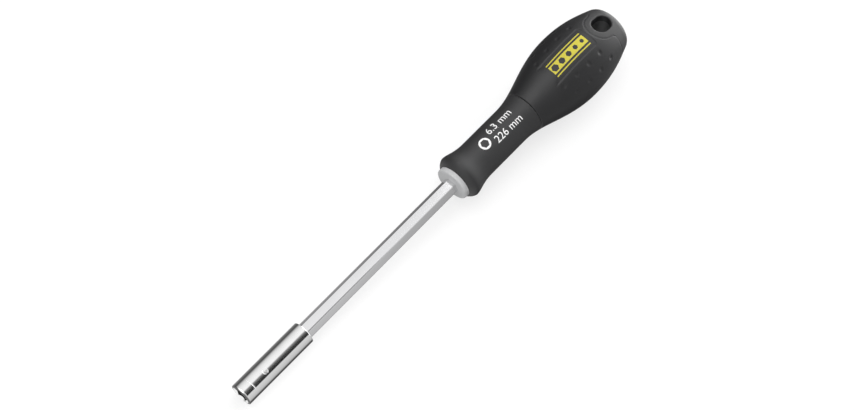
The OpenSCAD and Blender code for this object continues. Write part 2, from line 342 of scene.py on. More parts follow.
class Nodes:
    """The node tree of a material or of the world."""

    # Sockets of a Mix node that mixes colours
    MIX_FACTOR = 0
    MIX_FIRST = 6
    MIX_SECOND = 7
    MIX_RESULT = 2

    def __init__(self, tree):
        self.tree = tree

    def add(self, kind, settings=None, sockets=None, output=0):
        """Adds a node with its settings, then the values or links of its sockets."""
        node = self.tree.nodes.new(kind)
        for name, value in (settings or {}).items():
            if name == "stops":
                self.set_stops(node.color_ramp.elements, value)
            else:
                setattr(node, name, value)
        for name, value in (sockets or {}).items():
            self.feed(node.inputs[name], value)
        return Number(self, node.outputs[output])

    def feed(self, socket, value):
        """Gives a socket a link or a plain value."""
        if isinstance(value, Number):
            self.tree.links.new(value.socket, socket)
        else:
            socket.default_value = value

    @staticmethod
    def set_stops(elements, stops):
        """Fills a ramp with grey stops of (place, brightness)."""
        while len(elements) < len(stops):
            elements.new(1.0)
        for element, (at, level) in zip(elements, stops):
            element.position = at
            element.color = grey(level)

    def ramp(self, value, *stops):
        """A number mapped through straight grey stops."""
        return self.add("ShaderNodeValToRGB", {"stops": stops}, {"Fac": value})

    def maths(self, operation, *values):
        """A Math node on numbers."""
        return self.add("ShaderNodeMath", {"operation": operation}, dict(enumerate(values)))

    def fade(self, value, low, high, start=0.0):
        """A smooth step between two places, from a start of 0 up to 1 or from a start of 1 down to 0."""
        return self.add("ShaderNodeMapRange", {"interpolation_type": "SMOOTHSTEP"}, {
            "Value": value, "From Min": low, "From Max": high, "To Min": start, "To Max": 1.0 - start})

    def blend(self, factor, first, second, kind="MIX"):
        """A colour between two colours, or the two joined in another way by the factor."""
        sockets = {self.MIX_FACTOR: factor, self.MIX_FIRST: first, self.MIX_SECOND: second}
        return self.add("ShaderNodeMix", {"data_type": "RGBA", "blend_type": kind}, sockets, self.MIX_RESULT)

    def axes(self, vector):
        """The three numbers of a vector."""
        split = self.add("ShaderNodeSeparateXYZ", sockets={0: vector}).socket.node
        return [Number(self, output) for output in split.outputs]


class Finish(Nodes):
    """A material with one principled shader, patterned on the tool's own coordinates."""

    def __init__(self, name, **constants):
        self.material = bpy.data.materials.new(name)
        self.material.use_nodes = True
        super().__init__(self.material.node_tree)
        self.shader = self.tree.nodes["Principled BSDF"]
        for socket, value in constants.items():
            self.shader.inputs[socket.replace("_", " ")].default_value = value
        self.spot = self.add("ShaderNodeTexCoord", output="Object")

    def noise(self, grain, stretch=(1, 1, 1), detail=2.0):
        """Soft noise whose grain is a length in metres, longer along each stretched axis."""
        scale = [1 / (grain * factor) for factor in stretch]
        spot = self.add("ShaderNodeVectorMath", {"operation": "MULTIPLY"}, {0: self.spot, 1: scale})
        return self.add("ShaderNodeTexNoise", sockets={"Vector": spot, "Scale": 1.0, "Detail": detail})

    def tint(self, factor, colour, low, high):
        """A colour that varies between two brightnesses."""
        first = [channel * low for channel in colour] + [1.0]
        second = [channel * high for channel in colour] + [1.0]
        return self.blend(factor, first, second)

    def surface(self, colour, roughness, relief, strength, height=0.02 * MM):
        """Links what varies over the surface, its relief included, and returns the material."""
        sockets = {"Strength": strength, "Distance": height, "Height": relief}
        bump = self.add("ShaderNodeBump", sockets=sockets)
        for socket, value in (("Base Color", colour), ("Roughness", roughness), ("Normal", bump)):
            self.feed(self.shader.inputs[socket], value)
        return self.material


# Finishes

def plated_finish(colour):
    """Bright plating with fine drawing lines along the bar."""
    finish = Finish("plated_bar", Metallic=1.0)
    lines = finish.noise(grain=0.12 * MM, stretch=(160, 1, 1))
    cloud = finish.noise(grain=6 * MM, stretch=(3, 1, 1))
    shade = finish.tint(cloud, colour, low=0.94, high=1.03)
    return finish.surface(shade, lines.between(low=0.05, high=0.08), lines, strength=0.06, height=0.01 * MM)


def mouth_radius(sizes):
    """Radius of the lead-in at the sleeve's mouth."""
    return sizes.socket_af / 2 / math.cos(HALF_FLAT) + sizes.mouth_lead


def polished_finish(colour, sizes):
    """Polished stainless with faint turning marks; the front edge and the socket's walls past the lead-in are
    rougher and painted nearly black as shade.
    """
    finish = Finish("polished_steel", Metallic=1.0)
    marks = finish.noise(grain=0.14 * MM, stretch=(1, 400, 400), detail=1.0)
    cloud = finish.noise(grain=4 * MM)
    x, y, z = finish.axes(finish.spot)
    radius = finish.maths("SQRT", y * y + z * z)
    bore_margin = 0.05 * MM
    lead_margin = 0.02 * MM
    wall_fade = 0.13 * MM
    rim_kept = 0.75
    dull_roughness = 0.3
    # Painted shade: the socket's walls past the lead-in and the front edge at the mouth take a nearly black
    # copy of the steel, and are rougher
    lead_end = mouth_radius(sizes) + lead_margin
    bore = finish.maths("LESS_THAN", radius, sizes.groove_r + bore_margin)
    dull_shaded_walls = bore * finish.fade(radius + x, lead_end, lead_end + wall_fade)
    face = finish.maths("GREATER_THAN", radius, lead_end)
    edge = face * finish.fade(-x, -sizes.dull_shaded_rim, -rim_kept * sizes.dull_shaded_rim)
    dull_and_shaded = finish.maths("MAXIMUM", dull_shaded_walls, edge)
    polish = finish.tint(cloud, colour, low=0.95, high=1.03)
    shaded_matt = finish.tint(marks, colour, low=0.08, high=0.13)
    rough = marks.between(low=0.06, high=0.12) + dull_and_shaded * dull_roughness
    return finish.surface(finish.blend(dull_and_shaded, polish, shaded_matt), rough, marks, strength=0.05, height=0.01 * MM)


def nickel_finish(colour):
    """Nickel plating of the magnet, slightly clouded."""
    finish = Finish("nickel_plate", Metallic=1.0)
    cloud = finish.noise(grain=0.8 * MM)
    shade = finish.tint(cloud, colour, low=0.8, high=1.1)
    return finish.surface(shade, cloud.between(low=0.25, high=0.45), cloud, strength=0.05)


def wire_finish(colour):
    """Drawn spring wire."""
    finish = Finish("spring_wire", Metallic=1.0)
    lines = finish.noise(grain=0.1 * MM, stretch=(1, 6, 6))
    shade = finish.tint(lines, colour, low=0.8, high=1.15)
    return finish.surface(shade, lines.between(low=0.25, high=0.45), lines, strength=0.08, height=0.01 * MM)


def collar_finish(colour):
    """Satin light grey plastic with faint flow lines."""
    finish = Finish("grey_plastic", IOR=1.48)
    flow = finish.noise(grain=0.5 * MM, stretch=(1, 5, 5))
    cloud = finish.noise(grain=5 * MM)
    flow_share = 0.4
    shade = finish.tint(cloud * (1 - flow_share) + flow * flow_share, colour, low=0.88, high=1.1)
    return finish.surface(shade, flow.between(low=0.4, high=0.55), flow, strength=0.12)


def moulded_finish(name, colour, smooth, grain, strength, patch=None):
    """Black moulding with a fine grain and slightly uneven gloss, and perhaps a patch of another colour."""
    finish = Finish(name, IOR=1.5)
    texture = finish.noise(grain, detail=3.0)
    cloud = finish.noise(grain=9 * MM)
    uneven = (cloud + texture) / 2
    shade = finish.tint(uneven, colour, low=0.8, high=1.2)
    if patch:
        mask, under = patch(finish)
        shade = finish.blend(mask, shade, finish.tint(uneven, under, low=0.8, high=1.2))
    cloud_roughness = 0.1
    grain_roughness = 0.12
    rough = cloud * cloud_roughness + texture * grain_roughness + smooth
    return finish.surface(shade, rough, texture, strength, height=0.03 * MM)


def hard_finish(name, colour, patch=None):
    """Hard black moulding of the neck and the tail cap."""
    return moulded_finish(name, colour, smooth=0.4, grain=0.22 * MM, strength=0.25, patch=patch)


def soft_finish(name, colour):
    """Soft black moulding of the grip."""
    return moulded_finish(name, colour, smooth=0.33, grain=0.3 * MM, strength=0.3)


def ink_finish(name, colour):
    """Printed ink that is a little thinner in places."""
    finish = Finish(name, IOR=1.45)
    cloud = finish.noise(grain=0.5 * MM, detail=3.0)
    shade = finish.tint(cloud, colour, low=0.92, high=1.05)
    return finish.surface(shade, cloud.between(low=0.4, high=0.55), cloud, strength=0.08)


# Shapes

def around(x, radius, angle):
    """The point at an angle from the label side, turning towards +Y."""
    return Vector((x, radius * math.sin(angle), radius * math.cos(angle)))


def hexagon_radius(across_flats, angle):
    """Radius of a hexagon with one flat up, at an angle from the label side."""
    from_flat = (angle + HALF_FLAT) % (2 * HALF_FLAT) - HALF_FLAT
    return across_flats / 2 / math.cos(from_flat)


def ease(value):
    """A smooth step from 0 to 1."""
    value = min(max(value, 0.0), 1.0)
    return value * value * (3 - 2 * value)


def soft_min(first, second, blend):
    """The smaller of two numbers, blended where they are close."""
    near = max(blend - abs(first - second), 0.0) / blend
    return min(first, second) - near * near * blend / 4


def quarter_turn(steps):
    """Angles of a quarter circle, from 0 to a right angle."""
    return [QUARTER * step / steps for step in range(steps + 1)]


def rounded(x, radius, run, drop, steps):
    """Points of a rounded corner, from a face across the axis at x to the outside at a radius."""
    return [(x + run * (1 - math.cos(turn)), radius - drop * (1 - math.sin(turn)))
            for turn in quarter_turn(steps)]


def sweep(start, end, start_slope, end_slope, pulls):
    """A curve of the outline between two points with the slopes that it has there."""
    run = end[0] - start[0]
    leave = (start[0] + pulls[0] * run, start[1] + pulls[0] * run * start_slope)
    arrive = (end[0] - pulls[1] * run, end[1] - pulls[1] * run * end_slope)
    return curve(start, leave, arrive, end)


def curve(*points):
    """Points of a cubic curve through its two ends and towards its two handles."""
    return [(p.x, p.y) for p in interpolate_bezier(*(Vector((x, r, 0)) for x, r in points), CURVE_STEPS)]


def neck_outline(outline):
    """Outline of the neck as (x, radius) points."""
    lip_r = outline.lip_d / 2
    crest = (HANDLE_FRONT + outline.flange_setback, FLANGE_R)
    waist_front = (HANDLE_FRONT + outline.waist_start, outline.waist_d / 2)
    waist_rear = (waist_front[0] + outline.waist_l, outline.waist_d / 2)
    joint = (NECK_REAR, outline.joint_d / 2)
    power = outline.lip_power
    lip = [(HANDLE_FRONT + outline.flange_setback * (1 - math.cos(turn) ** power),
            lip_r + (FLANGE_R - lip_r) * math.sin(turn) ** power) for turn in quarter_turn(LIP_STEPS)]
    back = sweep(crest, waist_front, 0, 0, outline.flange_pull)
    flare = sweep(waist_rear, joint, 0, outline.joint_slope, outline.flare_pull)
    return lip + back[1:] + flare


def bulb_outline(outline):
    """Outline of the grip and the tail as (x, radius) points."""
    shoulder_r = outline.shoulder_d / 2
    joint = (NECK_REAR, outline.joint_d / 2)
    crest = (HANDLE_FRONT + outline.bulb_setback, BULB_R)
    shoulder = (TAIL - outline.tail_round, shoulder_r)
    rise = sweep(joint, crest, outline.joint_slope, 0, outline.rise_pull)
    fall = sweep(crest, shoulder, 0, -outline.shoulder_slope, outline.fall_pull)
    leave = outline.tail_pull[0] * outline.tail_round
    tail = curve(shoulder, (shoulder[0] + leave, shoulder_r - leave * outline.shoulder_slope),
                 (TAIL, outline.tail_pull[1] * shoulder_r), (TAIL, 0.0))
    return rise + fall[1:] + tail[1:]


class Profile:
    """Radius of an outline at any place along the axis."""

    def __init__(self, points):
        self.points = points
        self.along, self.radii = (np.array(column) for column in zip(*points))

    def __call__(self, x):
        return float(np.interp(x, self.along, self.radii))


def finish_piece(name, bm, material, nodes=(), sharp=PLAIN_SHARP):
    """Makes a bmesh a piece that rides on the tool and may stand for CAD nodes."""
    bmesh.ops.remove_doubles(bm, verts=bm.verts, dist=MERGE)
    bmesh.ops.recalc_face_normals(bm, faces=bm.faces)
    mesh = bpy.data.meshes.new(name)
    bm.to_mesh(mesh)
    bm.free()
    mesh.shade_smooth()
    mesh.set_sharp_from_angle(angle=math.radians(sharp))
    mesh.materials.append(material)
    piece = bpy.data.objects.new(name, mesh)
    bpy.context.scene.collection.objects.link(piece)
    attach(piece, "tool")
    if nodes:
        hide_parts(*nodes)


def whole(bm):
    """Everything in a mesh, for an operator that takes it all."""
    return bm.verts[:] + bm.edges[:] + bm.faces[:]


def laid_grid(bm, columns, rows, where):
    """A grid whose points are put where the function of column and row says."""
    made = bmesh.ops.create_grid(bm, x_segments=columns, y_segments=rows, size=0.5)
    for vert in made["verts"]:
        vert.co = where(round((vert.co.x + 0.5) * columns), round((vert.co.y + 0.5) * rows))


def turned(bm, points, steps):
    """Spins a closed outline of (x, radius) points about the tool's axis."""
    verts = [bm.verts.new((x, 0.0, radius)) for x, radius in points]
    edges = [bm.edges.new(pair) for pair in zip(verts, verts[1:] + verts[:1])]
    bmesh.ops.spin(bm, geom=verts + edges, axis=(1, 0, 0), cent=(0, 0, 0), angle=math.tau, steps=steps,
                   use_merge=True)


def stacked_rings(bm, rings, columns):
    """Joins rings round the axis, each a function of the angle that gives (x, radius)."""

    def where(column, row):
        angle = math.tau * column / columns
        return around(*rings[row](angle), angle)
    laid_grid(bm, columns, len(rings) - 1, where)


def plain_ring(x, radius):
    """A round ring."""
    return lambda angle: (x, radius)


def hexagon_ring(x, across_flats):
    """A hexagon ring with one flat up."""
    return lambda angle: (x, hexagon_radius(across_flats, angle))


# Pieces

class DRIVER_OT_hex_shaft(bpy.types.Operator):
    """Build the plated hexagon shaft with its pressed tang"""

    bl_idname = "bit_driver.hex_shaft"
    bl_label = "Hexagon Shaft"

    # Faces across the rounding of each long edge
    EDGE_STEPS = 5

    def execute(self, context):
        settings = context.scene.bit_driver
        sizes = settings.shaft
        bm = bmesh.new()
        middle = Matrix.Translation(((SHAFT_FRONT + SHAFT_REAR) / 2, 0, 0))
        middle @= Matrix.Rotation(QUARTER, 4, "Y")
        corner_r = SHAFT_AF / 2 / math.cos(HALF_FLAT)
        bmesh.ops.create_cone(bm, cap_ends=True, segments=6, radius1=corner_r, radius2=corner_r,
                              depth=SHAFT_REAR - SHAFT_FRONT, matrix=middle)
        long_edges = [e for e in bm.edges if abs(e.verts[0].co.x - e.verts[1].co.x) > sizes.corner]
        bmesh.ops.bevel(bm, geom=long_edges, offset=sizes.corner, segments=self.EDGE_STEPS, profile=0.5,
                        affect="EDGES", material=-1)
        self.press_wings(bm, sizes)
        plating = plated_finish(settings.colours.plating)
        finish_piece("shaft_bar", bm, plating, ["hex_shaft"], sharp=BAR_SHARP)
        return {"FINISHED"}

    @staticmethod
    def press_wings(bm, sizes):
        """Draws out the two wings of the tang from the corners of the bar."""
        rear = SHAFT_REAR - sizes.wing_setback
        front = rear - sizes.wing_l
        cuts = [((front, 0, 0), (1, 0, 0)), ((rear, 0, 0), (1, 0, 0)),
                ((0, 0, sizes.wing_t / 2), (0, 0, 1)), ((0, 0, -sizes.wing_t / 2), (0, 0, 1))]
        for point, normal in cuts:
            bmesh.ops.bisect_plane(bm, geom=whole(bm), plane_co=point, plane_no=normal)
        for side in (-1, 1):
            middles = [(face, face.calc_center_median()) for face in bm.faces]
            flank = [face for face, middle in middles if front < middle.x < rear
                     and abs(middle.z) < sizes.wing_t / 2 and middle.y * side > SHAFT_AF / 4]
            drawn = bmesh.ops.extrude_face_region(bm, geom=flank)["geom"]
            bmesh.ops.delete(bm, geom=flank, context="FACES")
            for vert in (v for v in drawn if isinstance(v, bmesh.types.BMVert)):
                vert.co.y = side * sizes.wing_w / 2


class DRIVER_OT_bit_sleeve(bpy.types.Operator):
    """Build the polished bit sleeve with its socket, line and stake mark"""

    bl_idname = "bit_driver.bit_sleeve"
    bl_label = "Bit Sleeve"

    # Faces across a rounded edge, and rows over the stake mark, which reach past its radius by a share
    EDGE_STEPS = 4
    STAKE_ROWS = 16
    STAKE_REACH = 1.2
    # Share of the stake mark's radius over which its edge rises
    STAKE_RIM = 0.3

    def execute(self, context):
        settings = context.scene.bit_driver
        sizes = settings.sleeve
        bm = bmesh.new()
        stacked_rings(bm, self.outside(sizes) + self.inside(sizes), sizes.columns)
        self.strike_stake(bm, sizes)
        steel = polished_finish(settings.colours.steel, sizes)
        finish_piece("sleeve_tube", bm, steel, ["bit_sleeve"], sharp=SLEEVE_SHARP)
        return {"FINISHED"}

    def outside(self, sizes):
        """Rings from the rear face over the outside to the front face."""
        edge = sizes.edge
        bend = sizes.bend
        points = rounded(SLEEVE_REAR, SLEEVE_R, -edge, edge, self.EDGE_STEPS)
        points.append((SLEEVE_REAR - edge - bend, SLEEVE_R))
        reach = sizes.stake_r * self.STAKE_REACH
        points += [(sizes.stake_x + reach * (1 - 2 * row / self.STAKE_ROWS), SLEEVE_R)
                   for row in range(self.STAKE_ROWS + 1)]
        half = sizes.line_w / 2
        turn_in = bend / 2
        front = -half - sizes.line_depth
        points += [(RING_MIDDLE + off, SLEEVE_R - drop) for off, drop in (
            (half + bend, 0), (half, 0), (half - turn_in, sizes.line_depth * turn_in / sizes.line_w),
            (-half, sizes.line_depth), (front, 0), (front - bend, 0))]
        points += [(sizes.front_rim + bend, SLEEVE_R), (sizes.front_rim, SLEEVE_R),
                   (sizes.front_rim - bend, SLEEVE_R - sizes.rim_drop * bend)]
        front_r = SLEEVE_R - sizes.rim_drop * sizes.front_rim
        points += reversed(rounded(sizes.face_setback, front_r, edge, edge, self.EDGE_STEPS))
        return [hexagon_ring(SLEEVE_REAR, SHAFT_AF)] + [plain_ring(*point) for point in points]

    @staticmethod
    def inside(sizes):
        """Rings from the mouth through the socket and the shaft's seat to the rear face."""
        mouth_r = mouth_radius(sizes)

        def lead_in(angle):
            wall_r = hexagon_radius(sizes.socket_af, angle)
            return mouth_r - wall_r, wall_r
        groove_front = RING_MIDDLE - sizes.groove_w / 2
        groove_rear = RING_MIDDLE + sizes.groove_w / 2
        return [
            plain_ring(0.0, mouth_r),
            lead_in,
            hexagon_ring(groove_front, sizes.socket_af),
            plain_ring(groove_front, sizes.groove_r),
            plain_ring(groove_rear, sizes.groove_r),
            hexagon_ring(groove_rear, sizes.socket_af),
            hexagon_ring(SHAFT_FRONT, sizes.socket_af),
            hexagon_ring(SHAFT_FRONT, SHAFT_AF),
            hexagon_ring(SLEEVE_REAR, SHAFT_AF),
        ]

    def strike_stake(self, bm, sizes):
        """Presses a tilted dent into the outside where the punch struck, deepest at its front."""
        centre = around(sizes.stake_x, SLEEVE_R, -sizes.stake_turn)
        rim = self.STAKE_RIM
        for vert in bm.verts:
            away = (vert.co - centre).length / sizes.stake_r
            if away < 1 and vert.co.yz.length > SLEEVE_R - sizes.edge:
                forward = (centre.x - vert.co.x) / sizes.stake_r
                dent = sizes.stake_depth * (1 + forward) / 2 * (1 - ease((away - 1 + rim) / rim))
                vert.co.yz *= (SLEEVE_R - dent) / SLEEVE_R


class DRIVER_OT_core(bpy.types.Operator):
    """Build the light grey core with the collar that shows in front of the handle"""

    bl_idname = "bit_driver.core"
    bl_label = "Core and Collar"

    # Faces round the core and across its rounded edge
    COLUMNS = 96
    EDGE_STEPS = 8

    def execute(self, context):
        settings = context.scene.bit_driver
        sizes = settings.core
        collar_r = sizes.collar_d / 2
        core_r = sizes.core_d / 2
        step_front = HANDLE_FRONT + sizes.core_step
        edge = sizes.collar_round
        points = rounded(COLLAR_FRONT, collar_r, edge, edge, self.EDGE_STEPS)
        points += [(HANDLE_FRONT, collar_r), (HANDLE_FRONT, core_r), (step_front, core_r),
                   (step_front + CORE_GRIP_R - core_r, CORE_GRIP_R), (CORE_REAR, CORE_GRIP_R),
                   (CORE_REAR, 0.0)]
        rings = [plain_ring(SHAFT_REAR, 0.0), hexagon_ring(SHAFT_REAR, SHAFT_AF)]
        rings += [hexagon_ring(COLLAR_FRONT, SHAFT_AF)] + [plain_ring(*point) for point in points]
        bm = bmesh.new()
        stacked_rings(bm, rings, self.COLUMNS)
        plastic = collar_finish(settings.colours.collar)
        finish_piece("core_collar", bm, plastic, ["handle_core"])
        return {"FINISHED"}


class DRIVER_OT_neck(bpy.types.Operator):
    """Build the black neck with its rolled flange"""

    bl_idname = "bit_driver.neck"
    bl_label = "Neck"

    # Faces round the neck and across its rounded edge, and one in how many points of the outline is used
    COLUMNS = 180
    EDGE_STEPS = 5
    THINNING = 3

    def execute(self, context):
        settings = context.scene.bit_driver
        grip = settings.grip
        core_r = settings.core.core_d / 2
        edge = grip.groove_edge
        outline = neck_outline(settings.outline)[::self.THINNING]
        points = [(x, radius) for x, radius in outline if x < NECK_REAR - edge]
        edge_r = settings.outline.joint_d / 2 - settings.outline.joint_slope * edge
        points += reversed(rounded(NECK_REAR, edge_r, -edge, edge, self.EDGE_STEPS))
        points += [(NECK_REAR, core_r), (HANDLE_FRONT, core_r)]
        bm = bmesh.new()
        turned(bm, points, self.COLUMNS)
        material = hard_finish("hard_black", settings.colours.hard_black)
        finish_piece("neck_moulding", bm, material, ["neck_sleeve"], sharp=MOULDED_SHARP)
        return {"FINISHED"}


class CapPlan:
    """The tail cap seen from above: where its edge and the hang slot lie on the handle."""

    # Heights below this count as the handle's middle
    LEVEL = 0.05 * MM
    # Halvings in the search for the cap's edge, and how far it starts from where the edge can be
    HALVINGS = 40
    MARGIN = MM

    def __init__(self, settings):
        cap = settings.cap
        self.cap = cap
        self.radius = Profile(bulb_outline(settings.outline))
        self.slot_r = cap.slot_w / 2
        self.slot_front = TAIL - cap.slot_setback - cap.slot_l + self.slot_r
        self.slot_rear = TAIL - cap.slot_setback - self.slot_r
        self.nose_r = self.slot_r + cap.rim_w
        self.side = TAIL - cap.cap_l

    def outside(self, x, y):
        """Distance in plan from the cap's edge, below zero on the cap."""
        nose = math.hypot(min(x - self.slot_front, 0.0), y) - self.nose_r
        side = self.side - x
        return soft_min(nose, side, self.cap.inner_corner)

    def edge_x(self, angle, gap):
        """Place of the cap's edge at an angle from the label side, moved forward by a gap."""
        front = self.slot_front - self.nose_r - 2 * gap - self.MARGIN
        rear = self.side + self.MARGIN
        for _ in range(self.HALVINGS):
            middle = (front + rear) / 2
            if self.outside(middle, self.radius(middle) * math.sin(angle)) > gap:
                front = middle
            else:
                rear = middle
        return rear

    def height(self, x, y):
        """Height of the handle's surface over a point of the plan."""
        square = self.radius(x) ** 2 - y * y
        return math.sqrt(square) if square > self.LEVEL ** 2 else 0.0


class LabelRecess:
    """The shallow recess for the label on the top of the grip."""

    def __init__(self, grip):
        self.grip = grip
        self.start = HANDLE_FRONT + grip.recess_start
        self.end = HANDLE_FRONT + grip.recess_end

    def depth(self, x, y):
        """How far the surface lies below the plain grip over a place of the plan."""
        grip = self.grip
        corner = grip.recess_corner
        over_x = max(x - self.end + corner, 0.0)
        over_y = max(abs(y) - grip.recess_w / 2 + corner, 0.0)
        border = math.hypot(over_x, over_y) - corner
        middle = max(1 - (2 * y / grip.recess_w) ** 2, 0.0)
        slope = grip.recess_hook + (grip.recess_slope - grip.recess_hook) * middle
        walled = min(max(0.5 - border / grip.recess_wall, 0.0), 1.0)
        return grip.recess_depth * walled * ease((x - self.start) / slope)


class DRIVER_OT_grip(bpy.types.Operator):
    """Build the soft grip with its label recess and dimples"""

    bl_idname = "bit_driver.grip"
    bl_label = "Grip"

    # Columns of half the grip inside the recess, across its wall and over the rest
    RECESS_COLUMNS = 12
    WALL_COLUMNS = 10
    SIDE_COLUMNS = 124
    # Shares of the recess's half width between which its wall lies
    WALL_SPAN = (0.86, 1.14)
    # Rows up to the last stretch of the recess, over that stretch, from there to the cap, and on an edge
    BODY_ROWS = 124
    END_ROWS = 14
    TAIL_ROWS = 34
    EDGE_ROWS = 5
    # Length of that stretch, and how far it reaches past the recess, which is short of the cap's edge
    END_STRETCH = 1.8 * MM
    END_REACH = 0.1 * MM

    def execute(self, context):
        settings = context.scene.bit_driver
        self.grip = settings.grip
        self.plan = CapPlan(settings)
        self.radius = self.plan.radius
        self.recess = LabelRecess(self.grip)
        self.body_end = self.recess.end + self.END_REACH
        self.core_r = settings.core.core_d / 2
        self.core_step = HANDLE_FRONT + settings.core.core_step
        self.dimples = list(self.dimple_places())
        half = self.half_columns()
        columns = [-column for column in half[:0:-1]] + half
        rows = self.rows()
        bm = bmesh.new()
        laid_grid(bm, len(columns) - 1, len(rows) - 1, lambda column, row: rows[row](columns[column]))
        material = soft_finish("soft_black", settings.colours.soft_black)
        finish_piece("grip_moulding", bm, material, ["grip"], sharp=MOULDED_SHARP)
        return {"FINISHED"}

    def half_columns(self):
        """Places round half the grip: below 2 in half widths of the recess, then up to the underside at 3."""
        low, high = self.WALL_SPAN
        recess = [low * i / self.RECESS_COLUMNS for i in range(self.RECESS_COLUMNS)]
        wall = [low + (high - low) * i / self.WALL_COLUMNS for i in range(self.WALL_COLUMNS)]
        side = [2 + i / self.SIDE_COLUMNS for i in range(self.SIDE_COLUMNS + 1)]
        return recess + wall + side

    def angle(self, column, x):
        """Angle from the label side of a column at a place along the axis."""
        recess = math.asin(self.grip.recess_w / 2 / self.radius(x))
        where = abs(column)
        side = self.WALL_SPAN[1] * recess
        angle = where * recess if where < 2 else side + (math.pi - side) * (where - 2)
        return math.copysign(angle, column)

    def dimple_places(self):
        """Place along the axis and angle of every dimple, on both faces of the handle."""
        grip = self.grip
        for face in (0, math.pi):
            for side in (-1, 1):
                for row in (0, 1):
                    for i in range(grip.dimple_count):
                        x = HANDLE_FRONT + grip.dimple_start + grip.dimple_pitch * (i + row / 2)
                        yield x, face + side * (grip.dimple_turn + row * grip.dimple_step)

    def rows(self):
        """Functions of the column that give each row's points, from the core over the outside and back."""
        grip = self.grip
        joint_x = NECK_REAR + grip.groove_edge
        body_end = self.body_end
        stretch = body_end - self.END_STRETCH
        skirt_r = self.plan.cap.skirt_r
        step_rear = self.core_step + CORE_GRIP_R - self.core_r
        groove = rounded(NECK_REAR, self.radius(joint_x), grip.groove_edge, grip.groove_depth, self.EDGE_ROWS)
        rows = [self.round_row(*point) for point in [(NECK_REAR, self.core_r)] + groove[:-1]]
        rows += [self.body_row(x) for x in np.linspace(joint_x, stretch, self.BODY_ROWS)]
        rows += [self.body_row(x) for x in np.linspace(stretch, body_end, self.END_ROWS)[1:]]
        rows += [self.tail_row((i + 1) / self.TAIL_ROWS) for i in range(self.TAIL_ROWS)]
        rows += [self.edge_row((i + 1) / self.EDGE_ROWS) for i in range(self.EDGE_ROWS)]
        rows.append(lambda column: self.edge_point(column, 0.0, radius=skirt_r))
        rows += [self.round_row(*point) for point in (
            (SKIRT_FRONT, skirt_r), (SKIRT_FRONT, CORE_GRIP_R), (step_rear, CORE_GRIP_R),
            (self.core_step, self.core_r), (NECK_REAR, self.core_r))]
        return rows

    def round_row(self, x, radius):
        """A plain round row."""
        return lambda column: around(x, radius, self.angle(column, max(x, NECK_REAR)))

    def body_row(self, x):
        """A row of the outside at one place along the axis."""
        return lambda column: self.outside(x, self.angle(column, x))

    def edge_x(self, column, back):
        """Place of the grip's rear edge in a column, less a distance."""
        return self.plan.edge_x(self.angle(column, self.body_end), self.plan.cap.parting) - back

    def tail_row(self, part):
        """A row between the recess's end and the grip's rear edge."""
        front = self.body_end

        def where(column):
            rear = self.edge_x(column, self.grip.parting_edge)
            return self.outside(front + (rear - front) * part, self.angle(column, front))
        return where

    def edge_row(self, part):
        """A row of the slope along the tail cap."""
        back = self.grip.parting_edge * (1 - part)
        drop = self.grip.parting_drop * ease(part)
        return lambda column: self.edge_point(column, back, drop=drop)

    def edge_point(self, column, back, radius=None, drop=0.0):
        """A point on the grip's rear edge, on the outside less a drop or at a given radius."""
        x = self.edge_x(column, back)
        return around(x, radius or self.radius(x) - drop, self.angle(column, self.body_end))

    def outside(self, x, angle):
        """A point of the outside with its dimples and the label recess."""
        radius = self.radius(x)
        depth = self.dent(x, angle, radius)
        if abs(angle) < QUARTER:
            depth += self.recess.depth(x, radius * math.sin(angle))
        return around(x, radius - depth, angle)

    def dent(self, x, angle, radius):
        """Depth of the nearest dimple at a place of the outside."""
        grip = self.grip
        depth = 0.0
        for dimple_x, dimple_angle in self.dimples:
            if abs(x - dimple_x) < grip.dimple_r:
                swing = (angle - dimple_angle + math.pi) % math.tau - math.pi
                away = math.hypot(x - dimple_x, swing * radius) / grip.dimple_r
                depth = max(depth, grip.dimple_depth * (1 - ease(away)))
        return depth


